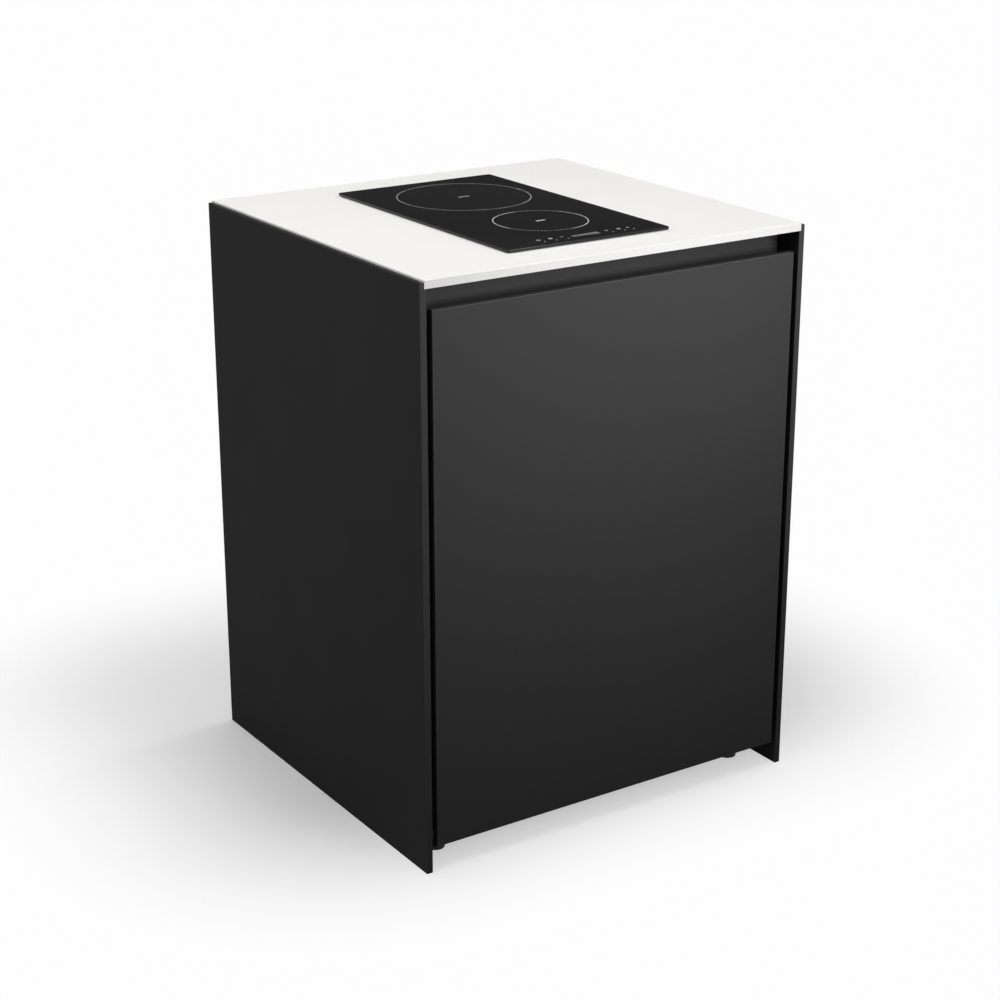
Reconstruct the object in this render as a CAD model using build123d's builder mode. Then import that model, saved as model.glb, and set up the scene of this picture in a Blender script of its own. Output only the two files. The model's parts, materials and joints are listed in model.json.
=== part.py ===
from build123d import *
import math
import os

os.makedirs("parts", exist_ok=True)

# An outdoor kitchen hob module, in millimetres.
# Origin: on the floor, at the middle of the footprint. +X right, +Y to the back, +Z up.

# Overall
width = 680
depth = 640
worktop_height = 900

# Side panels and worktop
panel_t = 10
slab_t = 12
panel_drop = 3  # the side panels' tops stay this far below the slab's top
slab_lap = 3  # the slab reaches this far over each side panel, in a rebate
lap_clear = 0.3
edge_round = 0.8

# Door leaf, flush with the side panels' front edges
door_t = 12
door_side_gap = 9.5
door_bottom = 40
recess_height = 31  # the open grip slot between the door's top and the slab
skin_t = 1.5

# Sheet-metal carcass behind the door
sheet_t = 2
carcass_setback = 20  # from the front plane to the carcass's front flanges
recess_depth = 50
recess_floor_drop = 54  # from the slab's underside to the grip rail's floor
rail_lip = 22
rail_top_flange = 25
stand_off = 1  # air between loose sheets and the flanges beside them
flange_w = 30
rear_flange_w = 25
back_inset = 6
floor_height = 80
floor_skirt = 24

# Hinge of the door: two pins on the right, top and bottom
hinge_edge_distance = 10
hinge_front_distance = 7
hinge_pin_r = 3
hinge_running_clear = 0.05
hinge_nose_r = 4.5
hinge_arm_t = 3
hinge_arm_inner = 8  # the arm's edge towards the middle of the door
hinge_arm_outer = 1
hinge_slot_margin = 0.3
hinge_slot_inner = 14
hinge_block_h = 20
hinge_pin_bury = 18
bracket_w = 22
bracket_reach = 27
bracket_screw_pitch = 10
lower_arm_drop = 8  # from the floor pan's skirt to the lower arm's underside
upper_arm_rise = 12  # from the grip rail's floor to the upper arm's underside

# Door seal and magnetic catch
seal_w = 6
seal_flange_inset = 1
seal_clear = 0.3
catch_height = 630
catch_length = 60
catch_w = 11
catch_gap = 0.3
catch_seal_gap = 1
strike_t = 1.5
magnet_t = 4
magnet_side_wall = 2
magnet_end_wall = 6

# Levelling feet
foot_side_inset = 56
foot_end_inset = 68
pad_r = 15
pad_top_r = 10
pad_rim_h = 6
pad_h = 14
stem_r = 5
stem_bury = 8
stem_top = 62
stem_hex = 14
stem_hex_h = 6
thread_clear = 0.05
socket_r = 12
socket_bottom = 44
socket_plate_r = 22
socket_plate_t = 2
lock_nut_hex = 17
lock_nut_h = 6

# Shelf and divider
shelf_height = 430
shelf_lip = 20
shelf_side_clear = 5
shelf_pin_r = 3
shelf_pin_reach = 12
shelf_pin_inset = 100
divider_drop = 98  # from the slab's underside
divider_leg = 20
divider_side_clear = 3

# Rear rail, back panel and cable outlet
rear_rail_web = 52
rear_rail_flange = 40
wall_hole_r = 4.25
wall_hole_inset = 90
wall_hole_drop = 26
outlet_inset = 80
outlet_drop = 76  # from the slab's underside
outlet_hole_r = 14
outlet_bore_r = 10
grommet_lip_r = 18
grommet_lip_t = 2
grommet_clear = 0.1
vent_length = 60
vent_w = 6
vent_pitch_x = 75
vent_pitch_z = 14
vent_columns = 6
upper_vent_x = 30
upper_vent_drop = 77  # from the slab's underside
lower_vent_rise = 50  # from the floor pan

# Screws
screw_clear = 0.05
panel_screw_r = 3
panel_screw_head_r = 5
panel_screw_head_h = 3
panel_screw_depth = 8
panel_screw_front_inset = 80
panel_screw_back_inset = 40
panel_screw_end_inset = 40  # above the floor pan and below the divider
panel_screw_rows = 4
panel_screw_columns = 3
back_screw_r = 2.5
back_screw_head_r = 4.5
back_screw_head_h = 2.5
back_screw_depth = 8
back_screw_hex_r = 1.7
back_screw_end_inset = 30
back_screw_rows = 4

# Hob
hob_w = 288
hob_x = -6
hob_front_margin = 71  # from the slab's front edge to the glass
hob_back_margin = 79
glass_t = 4
glass_bevel = 1
glass_corner_r = 4
gasket_t = 1
gasket_inset = 4
gasket_w = 5
cutout_lap = 10  # the glass reaches this far over the slab all round
cutout_corner_r = 8
casing_clear = 3
casing_t = 1.2
casing_h = 50
casing_corner_r = 6
clamp_inset = 82
clamp_w = 24
clamp_t = 2
clamp_reach = 20
clamp_drop = 24
clamp_screw_r = 2
clamp_screw_l = 6
clamp_screw_drop = 14

# Cooking zones: two rings that share the glass's length with the control strip
rear_zone_margin = 29
zone_gap = 36
control_strip = 69
zone_difference = 34  # the rear ring's radius is this much larger
zone_x = 8

# Inside the hob, placed from the casing's sides
coil_margin = 8
coil_eye_r = 24
coil_t = 4
ferrite_t = 4
ferrite_w = 12
coil_plate_t = 2
coil_plate_margin = 2
coil_top_gap = 1.5  # insulation space between coil and glass
sensor_r = 6
post_r = 4
post_inset = 14
post_hole_clear = 1
board_t = 1.6
board_rise = 6
board_w = 138
board_side_inset = 9
board_front_inset = 47
board_back_inset = 62
pip_r = 4
pip_inset = 8
sink_w = 54
sink_l = 170
sink_inset = 6
sink_base_t = 4
sink_h = 24
sink_fins = 9
sink_fin_t = 1.6
capacitor_r = 8
capacitor_h = 22
capacitor_x = 20
capacitor_pitch = 24
capacitor_count = 4
fan_side_inset = 49
fan_front_inset = 92
fan_size = 80
fan_h = 20
fan_bore_r = 38
fan_plate_t = 2.5
fan_strut_w = 4
fan_end_play = 1
fan_sleeve_r = 6
bearing_r = 4
bearing_h = 11
fan_shaft_r = 1.5
fan_shaft_clear = 0.05
fan_hub_r = 16
fan_hub_wall = 3
fan_blade_r = 36.5
fan_blade_t = 1.2
fan_blade_h = 11
fan_blade_tilt = 35
fan_blades = 7
grille_slot_w = 4
grille_pitch = 8
casing_vent_x = 52
casing_vent_w = 4
casing_vent_l = 18
casing_vent_pitch = 12
casing_vents = 10
control_w = 224
control_d = 40
control_tray_h = 9
control_tray_t = 2
control_tray_drop = 21
touch_spring_r = 3.5
touch_keys_x = (-74, -49, -25, -3, 12, 28, 54, 77, 94)
terminal_w = 50
terminal_d = 22
terminal_side_inset = 19
terminal_back_inset = 26
terminal_h = 16
terminal_hole_r = 3
terminal_pitch = 9
cable_bore_r = 6.5
cable_clamp_r = 11
cable_clamp_l = 14
cable_clamp_rise = 16

# Places worked out from the sizes above
x_out = width / 2
x_in = x_out - panel_t
y_front = -depth / 2
y_back = depth / 2
slab_z = worktop_height - slab_t
panel_top = worktop_height - panel_drop
slab_half = x_in + slab_lap
door_half = x_in - door_side_gap
door_top = slab_z - recess_height
door_back = y_front + door_t
core_front = y_front + skin_t
carcass_front = y_front + carcass_setback
flange_back = carcass_front + sheet_t
recess_wall = y_front + recess_depth
recess_floor = slab_z - recess_floor_drop
rail_bottom = recess_floor - rail_lip
rail_flange_back = recess_wall + rail_top_flange
side_inner = x_in - sheet_t
opening_half = x_in - flange_w
back_plane = y_back - back_inset
back_inner = back_plane - sheet_t
flange_inner = back_inner - sheet_t
floor_top = floor_height + sheet_t
skirt_bottom = floor_height - floor_skirt
hinge_x = door_half - hinge_edge_distance
hinge_y = y_front + hinge_front_distance
upper_arm_z = recess_floor + upper_arm_rise
lower_arm_z = skirt_bottom - lower_arm_drop
riser_front = flange_back + stand_off
bracket_back = riser_front + bracket_reach
bracket_screw_y = bracket_back - bracket_screw_pitch
bracket_screw_x = (hinge_x - bracket_screw_pitch / 2, hinge_x + bracket_screw_pitch / 2)
lower_bracket_seat = floor_height - hinge_arm_t
upper_bracket_seat = recess_floor + hinge_arm_t
foot_x = x_out - foot_side_inset
foot_y = y_back - foot_end_inset
shelf_top = shelf_height + sheet_t
shelf_pin_y = y_back - shelf_pin_inset
divider_height = slab_z - divider_drop
divider_top = divider_height + sheet_t
rear_rail_bottom = slab_z - rear_rail_web
wall_hole_x = x_out - wall_hole_inset
wall_hole_z = slab_z - wall_hole_drop
outlet_x = -x_out + outlet_inset
outlet_height = slab_z - outlet_drop
back_screw_x = side_inner - rear_flange_w / 2
glass_z = worktop_height + gasket_t
hob_d = depth - hob_front_margin - hob_back_margin
hob_y = y_front + hob_front_margin + hob_d / 2
cutout_w = hob_w - 2 * cutout_lap
cutout_d = hob_d - 2 * cutout_lap
casing_w = cutout_w - 2 * casing_clear
casing_d = cutout_d - 2 * casing_clear
casing_z = glass_z - casing_h
casing_floor = casing_z + casing_t
casing_right = hob_x + casing_w / 2
casing_left = hob_x - casing_w / 2
casing_front = hob_y - casing_d / 2
casing_back = hob_y + casing_d / 2
coil_z = glass_z - coil_top_gap - coil_t
ferrite_z = coil_z - ferrite_t
coil_plate_z = ferrite_z - coil_plate_t
board_z = casing_floor + board_rise
board_top = board_z + board_t
board_x = (casing_right - board_side_inset - board_w, casing_right - board_side_inset)
board_y = (casing_front + board_front_inset, casing_back - board_back_inset)
fan_centre = (casing_left + fan_side_inset, casing_front + fan_front_inset)
fan_top = casing_floor + fan_h
control_y = (casing_front + casing_t, casing_front + casing_t + control_d)
terminal_x = (casing_left + terminal_side_inset, casing_left + terminal_side_inset + terminal_w)
terminal_y = (casing_back - terminal_back_inset - terminal_d, casing_back - terminal_back_inset)
clamp_rows = (casing_front + clamp_inset, casing_back - clamp_inset)
front_zone_r = ((hob_d - rear_zone_margin - zone_gap - control_strip) / 2 - zone_difference) / 2
rear_zone_r = front_zone_r + zone_difference
rear_zone_y = hob_y + hob_d / 2 - rear_zone_margin - rear_zone_r
front_zone_y = hob_y - hob_d / 2 + control_strip + front_zone_r
zones = {
    "rear": (hob_x + zone_x, rear_zone_y, rear_zone_r - coil_margin, 8),
    "front": (hob_x + zone_x, front_zone_y, front_zone_r - coil_margin, 6),
}


def span_box(x, y, z, mode=Mode.ADD):
    """A box between two limits along each axis."""
    with Locations(((x[0] + x[1]) / 2, (y[0] + y[1]) / 2, (z[0] + z[1]) / 2)):
        Box(abs(x[1] - x[0]), abs(y[1] - y[0]), abs(z[1] - z[0]), mode=mode)


def rod(start, direction, radius, length, mode=Mode.ADD):
    """A round bar, or a round hole, from a point along a direction."""
    with Locations(Plane(origin=start, z_dir=direction)):
        Cylinder(radius, length, align=(Align.CENTER, Align.CENTER, Align.MIN), mode=mode)


def mirrored(pair, sign):
    """A pair of X limits, on the side that the sign names."""
    return (sign * pair[0], sign * pair[1])


def spread(low, high, count):
    """Evenly spaced values from low to high."""
    return [low + (high - low) * step / (count - 1) for step in range(count)]


panel_screw_y = spread(
    y_front + panel_screw_front_inset,
    y_back - panel_screw_back_inset,
    panel_screw_columns,
)
panel_screw_z = spread(
    floor_height + panel_screw_end_inset,
    divider_height - panel_screw_end_inset,
    panel_screw_rows,
)
back_screw_z = spread(
    floor_height + back_screw_end_inset,
    slab_z - back_screw_end_inset,
    back_screw_rows,
)
side_signs = {"left": -1, "right": 1}
foot_places = {
    "front_left": (-foot_x, -foot_y),
    "front_right": (foot_x, -foot_y),
    "rear_left": (-foot_x, foot_y),
    "rear_right": (foot_x, foot_y),
}

# Side panels: full-height plates that stand on the floor, with a rebate for the slab
for side, sign in side_signs.items():
    with BuildPart() as side_panel:
        span_box(mirrored((x_in, x_out), sign), (y_front, y_back), (0, panel_top))
        outer_edges = side_panel.edges().filter_by(Axis.Z).sort_by(Axis.X)
        fillet(outer_edges[2:] if sign > 0 else outer_edges[:2], edge_round)
        span_box(
            mirrored((x_in, slab_half + lap_clear), sign),
            (y_front, y_back),
            (slab_z, panel_top),
            mode=Mode.SUBTRACT,
        )
        for y in panel_screw_y:
            for z in panel_screw_z:
                rod(
                    (sign * x_in, y, z),
                    (sign, 0, 0),
                    panel_screw_r + screw_clear,
                    panel_screw_depth + screw_clear,
                    mode=Mode.SUBTRACT,
                )
    side_panel.part.label = f"{side}_side_panel"
    export_step(side_panel.part, f"parts/{side}_side_panel.step")

# Worktop slab with the hob's cut-out
with BuildPart() as worktop:
    span_box((-slab_half, slab_half), (y_front, y_back), (slab_z, worktop_height))
    fillet(worktop.faces().sort_by(Axis.Z)[-1].edges(), edge_round)
    with BuildSketch(Plane.XY.offset(slab_z)):
        with Locations((hob_x, hob_y)):
            RectangleRounded(cutout_w, cutout_d, cutout_corner_r)
    extrude(amount=slab_t, mode=Mode.SUBTRACT)
worktop.part.label = "worktop"
export_step(worktop.part, "parts/worktop.step")

# Carcass sides: folded sheets screwed to the side panels
for side, sign in side_signs.items():
    with BuildPart() as carcass_side:
        span_box(
            mirrored((side_inner, x_in), sign),
            (carcass_front, back_inner),
            (skirt_bottom, slab_z - sheet_t),
        )
        span_box(
            mirrored((opening_half, side_inner), sign),
            (carcass_front, flange_back),
            (floor_top, rail_bottom),
        )
        span_box(
            mirrored((side_inner - rear_flange_w, side_inner), sign),
            (flange_inner, back_inner),
            (floor_top, slab_z - sheet_t),
        )
        span_box(
            mirrored((opening_half, x_in), sign),
            (rail_flange_back, back_inner),
            (slab_z - sheet_t, slab_z),
        )
        # the grip rail passes through the upper front corner
        span_box(
            mirrored((side_inner, x_in), sign),
            (carcass_front, recess_wall + sheet_t),
            (recess_floor - sheet_t, slab_z),
            mode=Mode.SUBTRACT,
        )
        span_box(
            mirrored((side_inner, x_in), sign),
            (carcass_front, flange_back),
            (rail_bottom, recess_floor),
            mode=Mode.SUBTRACT,
        )
        for y in panel_screw_y:
            for z in panel_screw_z:
                rod(
                    (sign * side_inner, y, z),
                    (sign, 0, 0),
                    panel_screw_r + screw_clear,
                    sheet_t,
                    mode=Mode.SUBTRACT,
                )
        for y in (-shelf_pin_y, shelf_pin_y):
            rod(
                (sign * side_inner, y, shelf_height - shelf_pin_r),
                (sign, 0, 0),
                shelf_pin_r + screw_clear,
                sheet_t,
                mode=Mode.SUBTRACT,
            )
        for z in back_screw_z:
            rod(
                (sign * (side_inner - rear_flange_w / 2), flange_inner, z),
                (0, 1, 0),
                back_screw_r + screw_clear,
                sheet_t,
                mode=Mode.SUBTRACT,
            )
    carcass_side.part.label = f"{side}_carcass_side"
    export_step(carcass_side.part, f"parts/{side}_carcass_side.step")

# Floor pan with a skirt on all four sides
with BuildPart() as floor_pan:
    span_box(
        (-side_inner, side_inner),
        (carcass_front, back_inner),
        (skirt_bottom, floor_top),
    )
    span_box(
        (-side_inner + sheet_t, side_inner - sheet_t),
        (flange_back, flange_inner),
        (skirt_bottom, floor_height),
        mode=Mode.SUBTRACT,
    )
    for x in bracket_screw_x:
        rod((x, bracket_screw_y, floor_height), (0, 0, 1), back_screw_r + screw_clear, sheet_t,
            mode=Mode.SUBTRACT)
floor_pan.part.label = "floor_pan"
export_step(floor_pan.part, "parts/floor_pan.step")

# Grip rail: one folded profile that makes the finger recess and carries the slab's front
with BuildPart() as grip_rail:
    with BuildSketch(Plane.YZ.offset(-x_in)):
        with BuildLine():
            Polyline(
                (carcass_front, rail_bottom),
                (flange_back, rail_bottom),
                (flange_back, recess_floor - sheet_t),
                (recess_wall + sheet_t, recess_floor - sheet_t),
                (recess_wall + sheet_t, slab_z - sheet_t),
                (rail_flange_back, slab_z - sheet_t),
                (rail_flange_back, slab_z),
                (recess_wall, slab_z),
                (recess_wall, recess_floor),
                (carcass_front, recess_floor),
                close=True,
            )
        make_face()
    extrude(amount=2 * x_in)
    for x in bracket_screw_x:
        rod((x, bracket_screw_y, recess_floor - sheet_t), (0, 0, 1), back_screw_r + screw_clear,
            sheet_t, mode=Mode.SUBTRACT)
grip_rail.part.label = "grip_rail"
export_step(grip_rail.part, "parts/grip_rail.step")

# Rear rail: an angle under the slab's back edge, with two holes for fixing to a wall
with BuildPart() as rear_rail:
    with BuildSketch(Plane.YZ.offset(-opening_half)):
        with BuildLine():
            Polyline(
                (back_inner, rear_rail_bottom),
                (back_inner, slab_z),
                (back_inner - rear_rail_flange, slab_z),
                (back_inner - rear_rail_flange, slab_z - sheet_t),
                (flange_inner, slab_z - sheet_t),
                (flange_inner, rear_rail_bottom),
                close=True,
            )
        make_face()
    extrude(amount=2 * opening_half)
    for x in (-wall_hole_x, wall_hole_x):
        rod((x, flange_inner, wall_hole_z), (0, 1, 0), wall_hole_r, sheet_t, mode=Mode.SUBTRACT)
rear_rail.part.label = "rear_rail"
export_step(rear_rail.part, "parts/rear_rail.step")

# Back panel with two fields of vent slots, the cable outlet and the wall fixing holes
with BuildPart() as back_panel:
    span_box((-x_in, x_in), (back_inner, back_plane), (skirt_bottom, slab_z))
    with BuildSketch(Plane.XZ.offset(-back_plane)):
        with Locations((upper_vent_x, slab_z - upper_vent_drop)):
            with GridLocations(vent_pitch_x, vent_pitch_z, vent_columns, 2):
                SlotOverall(vent_length, vent_w)
        with Locations((0, floor_height + lower_vent_rise)):
            with GridLocations(vent_pitch_x, vent_pitch_z, vent_columns, 3):
                SlotOverall(vent_length, vent_w)
    extrude(amount=sheet_t, mode=Mode.SUBTRACT)
    rod((outlet_x, back_inner, outlet_height), (0, 1, 0), outlet_hole_r, sheet_t, mode=Mode.SUBTRACT)
    for x in (-wall_hole_x, wall_hole_x):
        rod((x, back_inner, wall_hole_z), (0, 1, 0), wall_hole_r, sheet_t, mode=Mode.SUBTRACT)
    for x in (-back_screw_x, back_screw_x):
        for z in back_screw_z:
            rod((x, back_inner, z), (0, 1, 0), back_screw_r + screw_clear, sheet_t, mode=Mode.SUBTRACT)
back_panel.part.label = "back_panel"
export_step(back_panel.part, "parts/back_panel.step")

# Rubber grommet of the cable outlet
with BuildPart() as cable_grommet:
    for start in (back_inner - grommet_lip_t, back_plane):
        rod((outlet_x, start, outlet_height), (0, 1, 0), grommet_lip_r, grommet_lip_t)
    rod((outlet_x, back_inner, outlet_height), (0, 1, 0), outlet_hole_r - grommet_clear, sheet_t)
    rod(
        (outlet_x, back_inner - grommet_lip_t, outlet_height),
        (0, 1, 0),
        outlet_bore_r,
        sheet_t + 2 * grommet_lip_t,
        mode=Mode.SUBTRACT,
    )
    fillet(
        cable_grommet.edges().filter_by(GeomType.CIRCLE).group_by(Axis.Y)[-1].sort_by(SortBy.RADIUS)[-1:],
        edge_round,
    )
cable_grommet.part.label = "cable_grommet"
export_step(cable_grommet.part, "parts/cable_grommet.step")

# Screws that hold the side panels, from inside the carcass
with BuildPart() as side_panel_screws:
    for sign in side_signs.values():
        for y in panel_screw_y:
            for z in panel_screw_z:
                seat = (sign * side_inner, y, z)
                rod(seat, (-sign, 0, 0), panel_screw_head_r, panel_screw_head_h)
                rod(seat, (sign, 0, 0), panel_screw_r, sheet_t + panel_screw_depth)
side_panel_screws.part.label = "side_panel_screws"
export_step(side_panel_screws.part, "parts/side_panel_screws.step")

# Socket screws that hold the back panel, and the same screws in the hinge brackets
with BuildPart() as m5_screws:
    seats = [((x, back_plane, z), (0, 1, 0)) for x in (-back_screw_x, back_screw_x) for z in back_screw_z]
    seats += [((x, bracket_screw_y, lower_bracket_seat), (0, 0, -1)) for x in bracket_screw_x]
    seats += [((x, bracket_screw_y, upper_bracket_seat), (0, 0, 1)) for x in bracket_screw_x]
    for seat, outward in seats:
        inward = tuple(-part for part in outward)
        rod(seat, inward, back_screw_r, back_screw_depth)
        rod(seat, outward, back_screw_head_r, back_screw_head_h)
        with BuildSketch(Plane(origin=seat, z_dir=outward).offset(back_screw_head_h / 3)):
            RegularPolygon(back_screw_hex_r, 6)
        extrude(amount=back_screw_head_h, mode=Mode.SUBTRACT)
m5_screws.part.label = "m5_screws"
export_step(m5_screws.part, "parts/m5_screws.step")

# Divider under the hob: a removable sheet with vent slots, on two angle rails
with BuildPart() as divider_panel:
    span_box(
        (-side_inner + divider_side_clear, side_inner - divider_side_clear),
        (flange_back + stand_off, flange_inner - stand_off),
        (divider_height, divider_top),
    )
    with BuildSketch(Plane.XY.offset(divider_height)):
        with Locations((0, y_back / 2)):
            with GridLocations(vent_pitch_x, vent_pitch_z, vent_columns, 5):
                SlotOverall(vent_length, vent_w)
    extrude(amount=sheet_t, mode=Mode.SUBTRACT)
divider_panel.part.label = "divider_panel"
export_step(divider_panel.part, "parts/divider_panel.step")

with BuildPart() as divider_rails:
    for sign in side_signs.values():
        span_box(
            mirrored((side_inner - sheet_t, side_inner), sign),
            (flange_back + divider_leg / 2, flange_inner - divider_leg / 2),
            (divider_height - divider_leg, divider_height),
        )
        span_box(
            mirrored((side_inner - divider_leg, side_inner - sheet_t), sign),
            (flange_back + divider_leg / 2, flange_inner - divider_leg / 2),
            (divider_height - sheet_t, divider_height),
        )
divider_rails.part.label = "divider_rails"
export_step(divider_rails.part, "parts/divider_rails.step")

# Shelf: a sheet with turned-down front and rear lips, on four pins
with BuildPart() as shelf:
    shelf_half = side_inner - shelf_side_clear
    shelf_y = (flange_back + shelf_lip, flange_inner - shelf_lip)
    span_box((-shelf_half, shelf_half), shelf_y, (shelf_height - shelf_lip, shelf_top))
    span_box(
        (-shelf_half, shelf_half),
        (shelf_y[0] + sheet_t, shelf_y[1] - sheet_t),
        (shelf_height - shelf_lip, shelf_height),
        mode=Mode.SUBTRACT,
    )
shelf.part.label = "shelf"
export_step(shelf.part, "parts/shelf.step")

with BuildPart() as shelf_pins:
    for sign in side_signs.values():
        for y in (-shelf_pin_y, shelf_pin_y):
            rod(
                (sign * (side_inner - shelf_pin_reach), y, shelf_height - shelf_pin_r),
                (sign, 0, 0),
                shelf_pin_r,
                shelf_pin_reach + sheet_t,
            )
shelf_pins.part.label = "shelf_pins"
export_step(shelf_pins.part, "parts/shelf_pins.step")

# Levelling feet: sockets and lock nuts stay on the floor pan, pads and stems move
with BuildPart() as foot_sockets:
    for x, y in foot_places.values():
        rod((x, y, floor_height - socket_plate_t), (0, 0, 1), socket_plate_r, socket_plate_t)
        rod((x, y, socket_bottom), (0, 0, 1), socket_r, floor_height - socket_plate_t - socket_bottom)
        rod(
            (x, y, socket_bottom),
            (0, 0, 1),
            stem_r + thread_clear,
            floor_height - socket_plate_t - socket_bottom,
            mode=Mode.SUBTRACT,
        )
foot_sockets.part.label = "foot_sockets"
export_step(foot_sockets.part, "parts/foot_sockets.step")

with BuildPart() as foot_lock_nuts:
    for x, y in foot_places.values():
        with BuildSketch(Plane.XY.offset(socket_bottom - lock_nut_h)):
            with Locations((x, y)):
                RegularPolygon(lock_nut_hex / 2, 6, major_radius=False)
                Circle(stem_r + thread_clear, mode=Mode.SUBTRACT)
        extrude(amount=lock_nut_h)
foot_lock_nuts.part.label = "foot_lock_nuts"
export_step(foot_lock_nuts.part, "parts/foot_lock_nuts.step")

for place, (x, y) in foot_places.items():
    with BuildPart() as foot_pad:
        with BuildSketch(Plane.XZ.offset(-y)):
            with BuildLine():
                Polyline(
                    (x + stem_r + thread_clear, pad_h - stem_bury),
                    (x, pad_h - stem_bury),
                    (x, 0),
                    (x + pad_r, 0),
                    (x + pad_r, pad_rim_h),
                    (x + pad_top_r, pad_h),
                    (x + stem_r + thread_clear, pad_h),
                    close=True,
                )
            make_face()
        revolve(axis=Axis((x, y, 0), (0, 0, 1)))
        fillet(foot_pad.edges().filter_by(GeomType.CIRCLE).group_by(Axis.Z)[0], edge_round)
    foot_pad.part.label = f"foot_pad_{place}"
    export_step(foot_pad.part, f"parts/foot_pad_{place}.step")

    with BuildPart() as foot_stem:
        rod((x, y, pad_h - stem_bury), (0, 0, 1), stem_r, stem_top - pad_h + stem_bury)
        with BuildSketch(Plane.XY.offset(pad_h)):
            with Locations((x, y)):
                RegularPolygon(stem_hex / 2, 6, major_radius=False)
        extrude(amount=stem_hex_h)
    foot_stem.part.label = f"foot_stem_{place}"
    export_step(foot_stem.part, f"parts/foot_stem_{place}.step")

# Hinge brackets: a base screwed to the carcass, a riser, and an arm that reaches into the leaf
bracket_x = (hinge_x - bracket_w / 2, hinge_x + bracket_w / 2)
riser_y = (riser_front, riser_front + hinge_arm_t)
hinge_levels = {
    "upper": (upper_arm_z, (recess_floor, upper_arm_z + hinge_arm_t), recess_floor, recess_floor),
    "lower": (lower_arm_z, (lower_arm_z, floor_height), floor_height - hinge_arm_t, lower_bracket_seat),
}
for level, (arm_z, riser_z, base_z, hole_z) in hinge_levels.items():
    with BuildPart() as hinge_bracket:
        span_box(bracket_x, (riser_y[0], bracket_back), (base_z, base_z + hinge_arm_t))
        span_box(bracket_x, riser_y, riser_z)
        with BuildSketch(Plane.XY.offset(arm_z)):
            with Locations((hinge_x, hinge_y)):
                Circle(hinge_nose_r)
            with Locations((hinge_x + (hinge_arm_outer - hinge_arm_inner) / 2, (hinge_y + riser_y[1]) / 2)):
                Rectangle(hinge_arm_inner + hinge_arm_outer, riser_y[1] - hinge_y)
        extrude(amount=hinge_arm_t)
        rod((hinge_x, hinge_y, arm_z), (0, 0, 1), hinge_pin_r, hinge_arm_t, mode=Mode.SUBTRACT)
        for x in bracket_screw_x:
            rod(
                (x, bracket_screw_y, hole_z),
                (0, 0, 1),
                back_screw_r + screw_clear,
                hinge_arm_t,
                mode=Mode.SUBTRACT,
            )
    hinge_bracket.part.label = f"{level}_hinge_bracket"
    export_step(hinge_bracket.part, f"parts/{level}_hinge_bracket.step")

with BuildPart() as hinge_pins:
    rod(
        (hinge_x, hinge_y, upper_arm_z + hinge_arm_t),
        (0, 0, -1),
        hinge_pin_r,
        hinge_arm_t + hinge_pin_bury,
    )
    rod((hinge_x, hinge_y, lower_arm_z), (0, 0, 1), hinge_pin_r, hinge_arm_t + hinge_pin_bury)
hinge_pins.part.label = "hinge_pins"
export_step(hinge_pins.part, "parts/hinge_pins.step")

# Door leaf: a folded outer skin, a filling core and an inner liner
inner_half = door_half - skin_t
leaf_z = (door_bottom + skin_t, door_top - skin_t)
upper_slot_z = (upper_arm_z - hinge_slot_margin, upper_arm_z + hinge_arm_t + hinge_slot_margin)
lower_slot_z = (lower_arm_z - hinge_slot_margin, lower_arm_z + hinge_arm_t + hinge_slot_margin)
block_z = {
    "upper": (upper_slot_z[0] - hinge_block_h, upper_slot_z[0]),
    "lower": (lower_slot_z[1], lower_slot_z[1] + hinge_block_h),
}
block_x = (hinge_x - hinge_slot_inner, inner_half)
liner_front = door_back - skin_t

with BuildPart() as door_skin:
    span_box((-door_half, door_half), (y_front, door_back), (door_bottom, door_top))
    fillet(door_skin.faces().sort_by(Axis.Y)[0].edges(), edge_round)
    span_box((-inner_half, inner_half), (core_front, door_back), leaf_z, mode=Mode.SUBTRACT)
    for slot_z in (upper_slot_z, lower_slot_z):
        span_box((inner_half, door_half), (core_front, door_back), slot_z, mode=Mode.SUBTRACT)
door_skin.part.label = "door_skin"
export_step(door_skin.part, "parts/door_skin.step")

with BuildPart() as door_core:
    span_box((-inner_half, inner_half), (core_front, liner_front), leaf_z)
    for level, slot_z in (("upper", upper_slot_z), ("lower", lower_slot_z)):
        span_box(block_x, (core_front, liner_front), slot_z, mode=Mode.SUBTRACT)
        span_box(block_x, (core_front, liner_front), block_z[level], mode=Mode.SUBTRACT)
door_core.part.label = "door_core"
export_step(door_core.part, "parts/door_core.step")

with BuildPart() as door_liner:
    span_box((-inner_half, inner_half), (liner_front, door_back), leaf_z)
    for slot_z in (upper_slot_z, lower_slot_z):
        span_box(block_x, (liner_front, door_back), slot_z, mode=Mode.SUBTRACT)
door_liner.part.label = "door_liner"
export_step(door_liner.part, "parts/door_liner.step")

with BuildPart() as door_pivot_blocks:
    for low, high in block_z.values():
        span_box(block_x, (core_front, liner_front), (low, high))
        rod(
            (hinge_x, hinge_y, low),
            (0, 0, 1),
            hinge_pin_r + hinge_running_clear,
            high - low,
            mode=Mode.SUBTRACT,
        )
door_pivot_blocks.part.label = "door_pivot_blocks"
export_step(door_pivot_blocks.part, "parts/door_pivot_blocks.step")

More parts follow.
